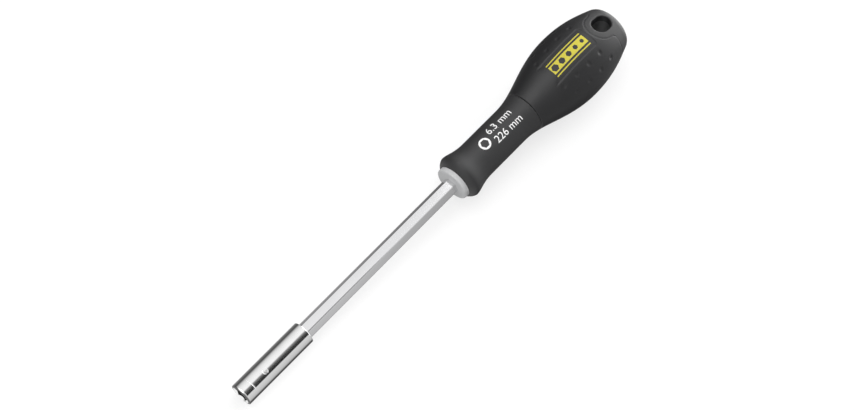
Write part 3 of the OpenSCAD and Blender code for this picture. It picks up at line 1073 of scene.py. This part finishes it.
class DRIVER_OT_tail_cap(bpy.types.Operator):
    """Build the hard tail cap with its hang slot"""

    bl_idname = "bit_driver.tail_cap"
    bl_label = "Tail Cap"

    # Columns of a quarter of the cap: along the slot's rim, along the cap's side and round the tail
    NOSE_COLUMNS = 30
    SIDE_COLUMNS = 44
    TAIL_COLUMNS = 48
    # Rows down the slot's wall, over its rounded mouth, over the cap and round its edge
    WALL_ROWS = 8
    MOUTH_ROWS = 7
    TOP_ROWS = 32
    EDGE_ROWS = 5
    # Angle of the slot's rear arc, from its side, that faces the cap's side
    SIDE_ARC = math.radians(35)
    # How far the painted patch of shaded core grey reaches past the slot's wall
    PATCH_MARGIN = 0.05 * MM

    def execute(self, context):
        settings = context.scene.bit_driver
        self.cap = settings.cap
        self.plan = CapPlan(settings)
        columns = list(self.columns())
        heights = [("wall", i / self.WALL_ROWS) for i in range(self.WALL_ROWS)]
        heights += [("mouth", turn) for turn in quarter_turn(self.MOUTH_ROWS)]
        heights += [("top", i / self.TOP_ROWS) for i in range(1, self.TOP_ROWS)]
        heights += [("edge", i / self.EDGE_ROWS) for i in range(self.EDGE_ROWS + 1)]
        bm = bmesh.new()
        laid_grid(bm, len(columns) - 1, len(heights) - 1,
                  lambda column, row: getattr(self, heights[row][0])(columns[column], heights[row][1]))
        for axis in ("Y", "Z"):
            bmesh.ops.mirror(bm, geom=whole(bm), matrix=Matrix.Identity(4), merge_dist=MERGE, axis=axis)
        bmesh.ops.remove_doubles(bm, verts=bm.verts, dist=MERGE)
        self.add_skirt(bm)
        colours = settings.colours
        # The slot's deep wall gets the core's grey darkened for shade: painted shade
        self.shaded_core_colour = colours.shaded_slot_grey
        material = hard_finish("cap_black", colours.hard_black, self.shaded_slot_patch)
        finish_piece("cap_moulding", bm, material, ["tail_cap"], sharp=MOULDED_SHARP)
        return {"FINISHED"}

    def shaded_slot_patch(self, finish):
        """Where the painted patch of shaded core grey lies deep in the hang slot, and its colour."""
        plan = self.plan
        x, y, z = finish.axes(finish.spot)
        from_middle = x - (plan.slot_front + plan.slot_rear) / 2
        past_straight = finish.maths("ABSOLUTE", from_middle) - (plan.slot_rear - plan.slot_front) / 2
        along = finish.maths("MAXIMUM", past_straight, 0.0)
        away = finish.maths("SQRT", along * along + y * y)
        inside = finish.maths("LESS_THAN", away, plan.slot_r + self.PATCH_MARGIN)
        level = plan.height(plan.slot_rear + plan.slot_r, 0.0) - self.cap.shell
        deep = finish.maths("LESS_THAN", finish.maths("ABSOLUTE", z), level)
        return inside * deep, self.shaded_core_colour

    def columns(self):
        """Each column's slot edge, way out from it, outer end in plan, and whether that is the cap's edge."""
        plan = self.plan
        nose_angle = math.asin(plan.nose_r / plan.radius(plan.slot_front))
        for i in range(self.NOSE_COLUMNS):
            part = i / self.NOSE_COLUMNS
            yield self.column(self.slot_arc(plan.slot_front, -QUARTER + QUARTER * part), nose_angle * part)
        straight = plan.slot_rear - plan.slot_front
        run = straight + plan.slot_r * self.SIDE_ARC
        for i in range(self.SIDE_COLUMNS):
            part = i / self.SIDE_COLUMNS
            way = run * part
            if way < straight:
                inner = (Vector((plan.slot_front + way, plan.slot_r)), Vector((0, 1)))
            else:
                inner = self.slot_arc(plan.slot_rear, (way - straight) / plan.slot_r)
            yield self.column(inner, nose_angle + (QUARTER - nose_angle) * part)
        tail = [p for p in plan.radius.points if p[0] > plan.side]
        tail.insert(0, (plan.side, plan.radius(plan.side)))
        reach = np.cumsum([0.0] + [math.dist(a, b) for a, b in zip(tail, tail[1:])])
        for i in range(self.TAIL_COLUMNS + 1):
            part = i / self.TAIL_COLUMNS
            inner = self.slot_arc(plan.slot_rear, self.SIDE_ARC + (QUARTER - self.SIDE_ARC) * part)
            outer = Vector(np.interp(reach[-1] * part, reach, axis) for axis in zip(*tail))
            yield *inner, outer, i == 0

    def slot_arc(self, centre_x, turn):
        """Edge of a round end of the slot, at an angle from its side to the tail, and the way out there."""
        out = Vector((math.sin(turn), math.cos(turn)))
        return Vector((centre_x, 0)) + out * self.plan.slot_r, out

    def column(self, inner, angle):
        """A column that ends on the cap's edge at an angle from the label side."""
        x = self.plan.edge_x(angle, 0.0)
        return *inner, Vector((x, self.plan.radius(x) * math.sin(angle))), True

    def over(self, spot, drop=0.0):
        """The surface over a place of the plan, less a drop towards the axis."""
        height = self.plan.height(*spot)
        radius = math.hypot(spot.y, height)
        kept = 1 - drop / max(radius, drop, MERGE)
        return Vector((spot.x, spot.y * kept, height * kept))

    def mouth(self, column, turn):
        """A point on the rounded mouth of the slot."""
        inner, out, _, _ = column
        edge = self.cap.slot_round
        point = self.over(inner + out * edge * (1 - math.cos(turn)))
        point.z -= edge * (1 - math.sin(turn))
        return point

    def wall(self, column, part):
        """A point on the slot's wall, from the handle's middle up."""
        point = self.mouth(column, 0.0)
        point.z *= part
        return point

    def top(self, column, part):
        """A point between the slot's mouth and the outer end."""
        inner, out, outer, _ = column
        start = inner + out * self.cap.slot_round
        end = outer + (start - outer).normalized() * self.cap.edge
        return self.over(start.lerp(end, math.sin(QUARTER * part)))

    def edge(self, column, part):
        """A point on the slope along the grip, or near the equator of the tail."""
        inner, out, outer, on_edge = column
        start = inner + out * self.cap.slot_round
        spot = outer + (start - outer).normalized() * self.cap.edge * (1 - part)
        return self.over(spot, self.cap.edge_drop * ease(part) if on_edge else 0.0)

    def add_skirt(self, bm):
        """Carries the cap's open edge inwards and forward as the skirt on the core, and closes it."""
        skirt_r = self.cap.skirt_r
        moves = [(None, skirt_r), (SKIRT_FRONT, skirt_r), (SKIRT_FRONT, CORE_GRIP_R),
                 (CORE_REAR, CORE_GRIP_R)]
        rim = [e for e in bm.edges if e.is_boundary]
        for x, radius in moves:
            grown = bmesh.ops.extrude_edge_only(bm, edges=rim)["geom"]
            rim = [e for e in grown if isinstance(e, bmesh.types.BMEdge)]
            for vert in {v for e in rim for v in e.verts}:
                vert.co.yz *= radius / vert.co.yz.length
                vert.co.x = vert.co.x if x is None else x
        bmesh.ops.edgeloop_fill(bm, edges=rim)


# Prints

def wrapped(bm, radius, ink, depth=None):
    """Bends a flat print, drawn along X and across Y, round the handle and gives it its thickness."""
    for vert in bm.verts:
        x, y, _ = vert.co
        handle_r = radius(x)
        angle = y / handle_r
        sunk = depth(x, handle_r * math.sin(angle)) if depth else 0.0
        vert.co = around(x, handle_r - sunk + ink, angle)
    bmesh.ops.recalc_face_normals(bm, faces=bm.faces)
    bmesh.ops.solidify(bm, geom=bm.faces[:], thickness=2 * ink)


def pierced(bm, centre, outer, across_flats):
    """A flat face from an outer edge, given by its distance at an angle from +Y, to a hexagon hole."""
    middle = Matrix.Translation((*centre, 0))
    loops = []
    for distance in (outer, lambda angle: hexagon_radius(across_flats, angle)):
        made = bmesh.ops.create_circle(bm, segments=SIGN_STEPS, radius=MM, matrix=middle)["verts"]
        for vert in made:
            away = vert.co.xy - centre
            vert.co.xy = centre + away.normalized() * distance(math.atan2(away.x, away.y))
        loops += {edge for vert in made for edge in vert.link_edges}
    bmesh.ops.bridge_loops(bm, edges=loops)


def ring_sign(bm, centre, outer_r, across_flats):
    """A flat ring with a hexagon hole."""
    pierced(bm, centre, lambda angle: outer_r, across_flats)


def hexagon_tile(bm, centre, half, across_flats):
    """A flat square with a hexagon hole."""
    pierced(bm, centre, lambda angle: half / max(abs(math.sin(angle)), abs(math.cos(angle))), across_flats)


def flat_text(bm, words, size, left, middle):
    """Adds flat lettering that starts at a place along X and is centred on a line."""
    letters = bpy.data.curves.new("letters", "FONT")
    letters.body = words
    letters.size = size
    letters.align_y = "CENTER"
    holder = bpy.data.objects.new("letters", letters)
    bpy.context.scene.collection.objects.link(holder)
    bpy.context.view_layer.update()
    mesh = bpy.data.meshes.new_from_object(holder.evaluated_get(bpy.context.evaluated_depsgraph_get()))
    mesh.transform(Matrix.Translation((left, middle, 0)))
    bm.from_mesh(mesh)
    bpy.data.objects.remove(holder)
    bpy.data.curves.remove(letters)
    bpy.data.meshes.remove(mesh)


def cut_fine(bm, pitch):
    """Cuts a flat print by parallel lines so that it can be bent."""
    for axis, normal in enumerate((Vector((1, 0, 0)), Vector((0, 1, 0)))):
        places = [vert.co[axis] for vert in bm.verts]
        low = min(places)
        for i in range(1, int((max(places) - low) / pitch)):
            spot = normal * (low + i * pitch)
            bmesh.ops.bisect_plane(bm, geom=whole(bm), plane_co=spot, plane_no=normal, dist=MERGE)
    bmesh.ops.remove_doubles(bm, verts=bm.verts, dist=SLIVER)


class DRIVER_OT_neck_print(bpy.types.Operator):
    """Print the drive sign and plain sizes on the neck"""

    bl_idname = "bit_driver.neck_print"
    bl_label = "Neck Print"

    # Distance between the cuts that let the print bend
    PITCH = 0.5 * MM

    def execute(self, context):
        settings = context.scene.bit_driver
        prints = settings.prints
        bm = bmesh.new()
        ring_sign(bm, Vector((HANDLE_FRONT + prints.icon_x, 0)), prints.icon_d / 2, prints.icon_af)
        left = HANDLE_FRONT + prints.text_x
        flat_text(bm, prints.first_line, prints.text_size, left, prints.text_spread)
        flat_text(bm, prints.second_line, prints.text_size, left, -prints.text_spread)
        cut_fine(bm, self.PITCH)
        wrapped(bm, Profile(neck_outline(settings.outline)), prints.ink)
        finish_piece("neck_print", bm, ink_finish("white_ink", settings.colours.white_ink))
        return {"FINISHED"}


class DRIVER_OT_label_print(bpy.types.Operator):
    """Print the plain band with hexagon signs in the label recess"""

    bl_idname = "bit_driver.label_print"
    bl_label = "Label Print"

    # Distance between the cuts that let the print bend, and faces along each line beside the band
    PITCH = MM
    LINE_STEPS = 40

    def execute(self, context):
        settings = context.scene.bit_driver
        prints = settings.prints
        middle = HANDLE_FRONT + prints.band_x
        first = middle - prints.band_w * (prints.sign_count - 1) / 2
        bm = bmesh.new()
        for i in range(prints.sign_count):
            centre = Vector((first + prints.band_w * i, 0))
            hexagon_tile(bm, centre, prints.band_w / 2, prints.sign_af - prints.sign_step * i)
        for side in (-1, 1):
            shape = Matrix.Diagonal((prints.band_w * prints.sign_count, prints.line_w, 1, 1))
            where = Matrix.Translation((middle, side * prints.line_y, 0)) @ shape
            bmesh.ops.create_grid(bm, x_segments=self.LINE_STEPS, y_segments=1, size=0.5, matrix=where)
        bmesh.ops.remove_doubles(bm, verts=bm.verts, dist=MERGE)
        cut_fine(bm, self.PITCH)
        recess = LabelRecess(settings.grip)
        wrapped(bm, Profile(bulb_outline(settings.outline)), prints.ink, recess.depth)
        finish_piece("label_print", bm, ink_finish("yellow_ink", settings.colours.yellow_ink))
        return {"FINISHED"}


class DRIVER_OT_inner_metal(bpy.types.Operator):
    """Give the magnet and the retaining ring their metal finishes"""

    bl_idname = "bit_driver.inner_metal"
    bl_label = "Magnet and Ring Finish"

    def execute(self, context):
        colours = context.scene.bit_driver.colours
        finishes = {"magnet": nickel_finish(colours.nickel), "retaining_ring": wire_finish(colours.wire)}
        for node, material in finishes.items():
            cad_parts[node].material_slots[0].material = material
        return {"FINISHED"}


# Stage

class DRIVER_OT_stage(bpy.types.Operator):
    """Lay the floor and set up the light and the camera"""

    bl_idname = "bit_driver.stage"
    bl_label = "Stage"

    # Brightness of the studio, by the angle in degrees about the tool's axis from above to the camera's side.
    # The bright metal mirrors METAL_TENT, which CARD darkens towards the mouth and SIDES towards the handle.
    # The handle mirrors HANDLE_TENT, its rear half BULB_TENT, and whatever faces forward TIP_TENT.
    # BELOW is where white light from under the tool reaches into the mouth.
    METAL_TENT = ((-180, 0.36), (-134, 0.36), (-124, 0.21), (-108, 0.15), (-92, 0.09), (-83, 0.10),
                  (-74, 0.24), (-66, 0.55), (-53, 0.76), (-32, 0.92), (-8, 1.0), (12, 0.98), (62, 0.74),
                  (95, 0.64), (119, 0.55), (126, 0.42), (134, 0.20), (142, 0.08), (180, 0.08))
    CARD = ((5, 1.0), (9, 0.82), (13, 0.42), (21, 0.20), (32, 0.08), (42, 0.03), (59.5, 0.03), (62.5, 1.0))
    SIDES = ((-180, 0.39), (-115, 0.39), (-75, 1.0), (75, 1.0), (98, 0.68), (180, 0.68))
    HANDLE_TENT = ((-180, 0.10), (-88, 0.05), (-66, 0.12), (-48, 0.85), (-30, 2.70), (-10, 3.80), (6, 2.60),
                   (20, 0.78), (34, 0.34), (77, 0.32), (112, 0.27), (150, 0.15), (180, 0.10))
    BULB_TENT = ((-180, 0.20), (-110, 0.12), (-87, 0.20), (-66, 0.42), (-45, 0.58), (-30, 1.05),
                 (-12, 1.45), (4, 1.20), (18, 0.85), (32, 0.70), (47, 0.65), (82, 0.60), (125, 0.55),
                 (180, 0.30))
    TIP_TENT = ((-180, 1.0), (-130, 1.0), (-100, 0.55), (-65, 0.50), (-40, 0.80), (-15, 1.20), (20, 1.20),
                (60, 0.95), (100, 0.80), (130, 1.0), (180, 1.0))
    BELOW = ((-180, 1.0), (-125, 1.0), (-105, 0.0), (105, 0.0), (125, 1.0), (180, 1.0))
    # Parts of a mirrored ray that run along the axis, -1 to the mouth, between which each fades in and out
    METAL_SPAN = (0.03, 0.06, 0.352, 0.362)
    CARD_SPAN = (0.125, 0.15, 0.275, 0.30)
    SIDES_SPAN = (0.245, 0.375, 1.9, 2.0)
    BULB_SPAN = (0.40, 0.52, 1.9, 2.0)
    MOUTH_SPAN = (-0.50, -0.40, -0.10, -0.05)
    TIP_SPAN = (-2.0, -1.9, -0.35, -0.15)
    FRONT_SPAN = (-2.0, -1.9, -0.90, -0.75)
    TAIL_SPAN = (0.73, 0.96, 1.9, 2.0)
    # Brightness of the soft light behind the tail, over that of white
    TAIL_LEVEL = 4.4
    # Faces along each side of the floor
    FLOOR_STEPS = 8
    # Widths of the picture in pixels and of the sensor in millimetres, and the camera's range in metres
    IMAGE_WIDTH = 854
    SENSOR_WIDTH = 36
    NEAREST = 0.01
    FARTHEST = 50

    def execute(self, context):
        sizes = context.scene.bit_driver.stage
        scene = context.scene
        scene.view_settings.view_transform = "Standard"
        self.lay_floor(scene, sizes)
        self.light_studio(scene)
        self.hang_key(scene, sizes)
        self.set_camera(scene, sizes)
        return {"FINISHED"}

    def lay_floor(self, scene, sizes):
        """A floor that the mouth and the bulb both touch."""
        slope = (BULB_R - SLEEVE_R) / sizes.bulb_touch
        bm = bmesh.new()
        steps = self.FLOOR_STEPS
        bmesh.ops.create_grid(bm, x_segments=steps, y_segments=steps, size=sizes.floor_reach)
        for vert in bm.verts:
            vert.co.z = -SLEEVE_R - vert.co.x * slope
        mesh = bpy.data.meshes.new("floor")
        bm.to_mesh(mesh)
        bm.free()
        floor = bpy.data.objects.new("floor", mesh)
        scene.collection.objects.link(floor)
        floor.visible_glossy = False
        glow = sizes.floor_glow
        finish = Finish("floor_white", Base_Color=grey(1 - glow), Roughness=0.9, Specular_IOR_Level=0.0,
                        Emission_Strength=glow)
        seen = finish.add("ShaderNodeLightPath", output="Is Camera Ray")
        finish.feed(finish.shader.inputs["Emission Color"], finish.blend(seen, grey(0.0), grey(1.0)))
        mesh.materials.append(finish.material)

    def light_studio(self, scene):
        """White surroundings for the camera, and a tent with soft light and dark cards for all else."""
        world = bpy.data.worlds.new("studio")
        world.use_nodes = True
        scene.world = world
        nodes = Nodes(world.node_tree)
        x, y, z = nodes.axes(nodes.add("ShaderNodeTexCoord", output="Generated"))
        turn = nodes.maths("ARCTAN2", -y, z) / math.tau + 0.5

        def tent(stops):
            return nodes.ramp(turn, *((degrees / 360 + 0.5, level) for degrees, level in stops))

        def within(span):
            return nodes.fade(x, *span[:2]) * nodes.fade(x, *span[2:], start=1.0)

        white = grey(1.0)
        metal = tent(self.METAL_TENT)
        for span, stops in ((self.CARD_SPAN, self.CARD), (self.SIDES_SPAN, self.SIDES)):
            metal = nodes.blend(1.0, metal, nodes.blend(within(span), white, tent(stops)), "MULTIPLY")
        handle = nodes.blend(within(self.BULB_SPAN), tent(self.HANDLE_TENT), tent(self.BULB_TENT))
        light = nodes.blend(within(self.METAL_SPAN), handle, metal)
        light = nodes.blend(within(self.TIP_SPAN), light, tent(self.TIP_TENT))
        light = nodes.blend(within(self.FRONT_SPAN), light, white)
        light = nodes.blend(within(self.MOUTH_SPAN) * tent(self.BELOW), light, white)
        light = nodes.blend(within(self.TAIL_SPAN), light, grey(self.TAIL_LEVEL))
        kinds = ("Is Camera Ray", "Is Transmission Ray")
        rays = [nodes.add("ShaderNodeLightPath", output=kind) for kind in kinds]
        seen = nodes.maths("MAXIMUM", *rays)
        background = world.node_tree.nodes["Background"]
        nodes.feed(background.inputs["Color"], nodes.blend(seen, light, white))

    @staticmethod
    def hang_key(scene, sizes):
        """One large soft light above the label side."""
        light = bpy.data.lights.new("key", "AREA")
        light.size = sizes.key_size
        light.energy = sizes.key_power
        lamp = bpy.data.objects.new("key", light)
        scene.collection.objects.link(lamp)
        lamp.visible_glossy = False
        lamp.location = sizes.key_place
        aim = Vector((sizes.bulb_touch / 2, 0, 0)) - lamp.location
        lamp.rotation_euler = aim.to_track_quat("-Z", "Y").to_euler()

    def set_camera(self, scene, sizes):
        """The photograph's camera, turned so that the tool's axis leans as it does there."""
        lens = bpy.data.cameras.new("camera")
        lens.sensor_width = self.SENSOR_WIDTH
        lens.lens = sizes.focal_pixels * self.SENSOR_WIDTH / self.IMAGE_WIDTH
        lens.clip_start = self.NEAREST
        lens.clip_end = self.FARTHEST
        camera = bpy.data.objects.new("camera", lens)
        scene.collection.objects.link(camera)
        back = (Vector(sizes.eye) - Vector(sizes.target)).normalized()
        along = Vector((1, 0, 0))
        along = (along - along.project(back)).normalized()
        across = along.cross(back)
        right = along * math.cos(sizes.lean) + across * math.sin(sizes.lean)
        up = along * math.sin(sizes.lean) - across * math.cos(sizes.lean)
        turned_to = Matrix((right, up, back)).transposed().to_4x4()
        camera.matrix_world = Matrix.Translation(sizes.eye) @ turned_to
        scene.camera = camera


# Panel and registration

class DRIVER_PT_pieces(bpy.types.Panel):
    """Pieces of the bit holder screwdriver"""

    bl_idname = "DRIVER_PT_pieces"
    bl_label = "Bit Holder Screwdriver"
    bl_space_type = "VIEW_3D"
    bl_region_type = "UI"
    bl_category = "Bit Driver"

    def draw(self, context):
        for operator in OPERATORS:
            self.layout.operator(operator.bl_idname)


SIZES = (ShaftSizes, SleeveSizes, HandleOutline, CoreSizes, GripSizes, CapSizes, PrintSizes, FinishColours,
         StageSizes, DriverSettings)
OPERATORS = (DRIVER_OT_hex_shaft, DRIVER_OT_bit_sleeve, DRIVER_OT_inner_metal, DRIVER_OT_core,
             DRIVER_OT_neck, DRIVER_OT_grip, DRIVER_OT_tail_cap, DRIVER_OT_neck_print,
             DRIVER_OT_label_print, DRIVER_OT_stage)


def register():
    for cls in (*SIZES, *OPERATORS, DRIVER_PT_pieces):
        bpy.utils.register_class(cls)
    bpy.types.Scene.bit_driver = PointerProperty(type=DriverSettings)


def unregister():
    del bpy.types.Scene.bit_driver
    for cls in reversed((*SIZES, *OPERATORS, DRIVER_PT_pieces)):
        bpy.utils.unregister_class(cls)


def main():
    """Builds every piece and the stage."""
    register()
    for operator in OPERATORS:
        group, name = operator.bl_idname.split(".")
        getattr(getattr(bpy.ops, group), name)()


if __name__ == "__main__":
    main()
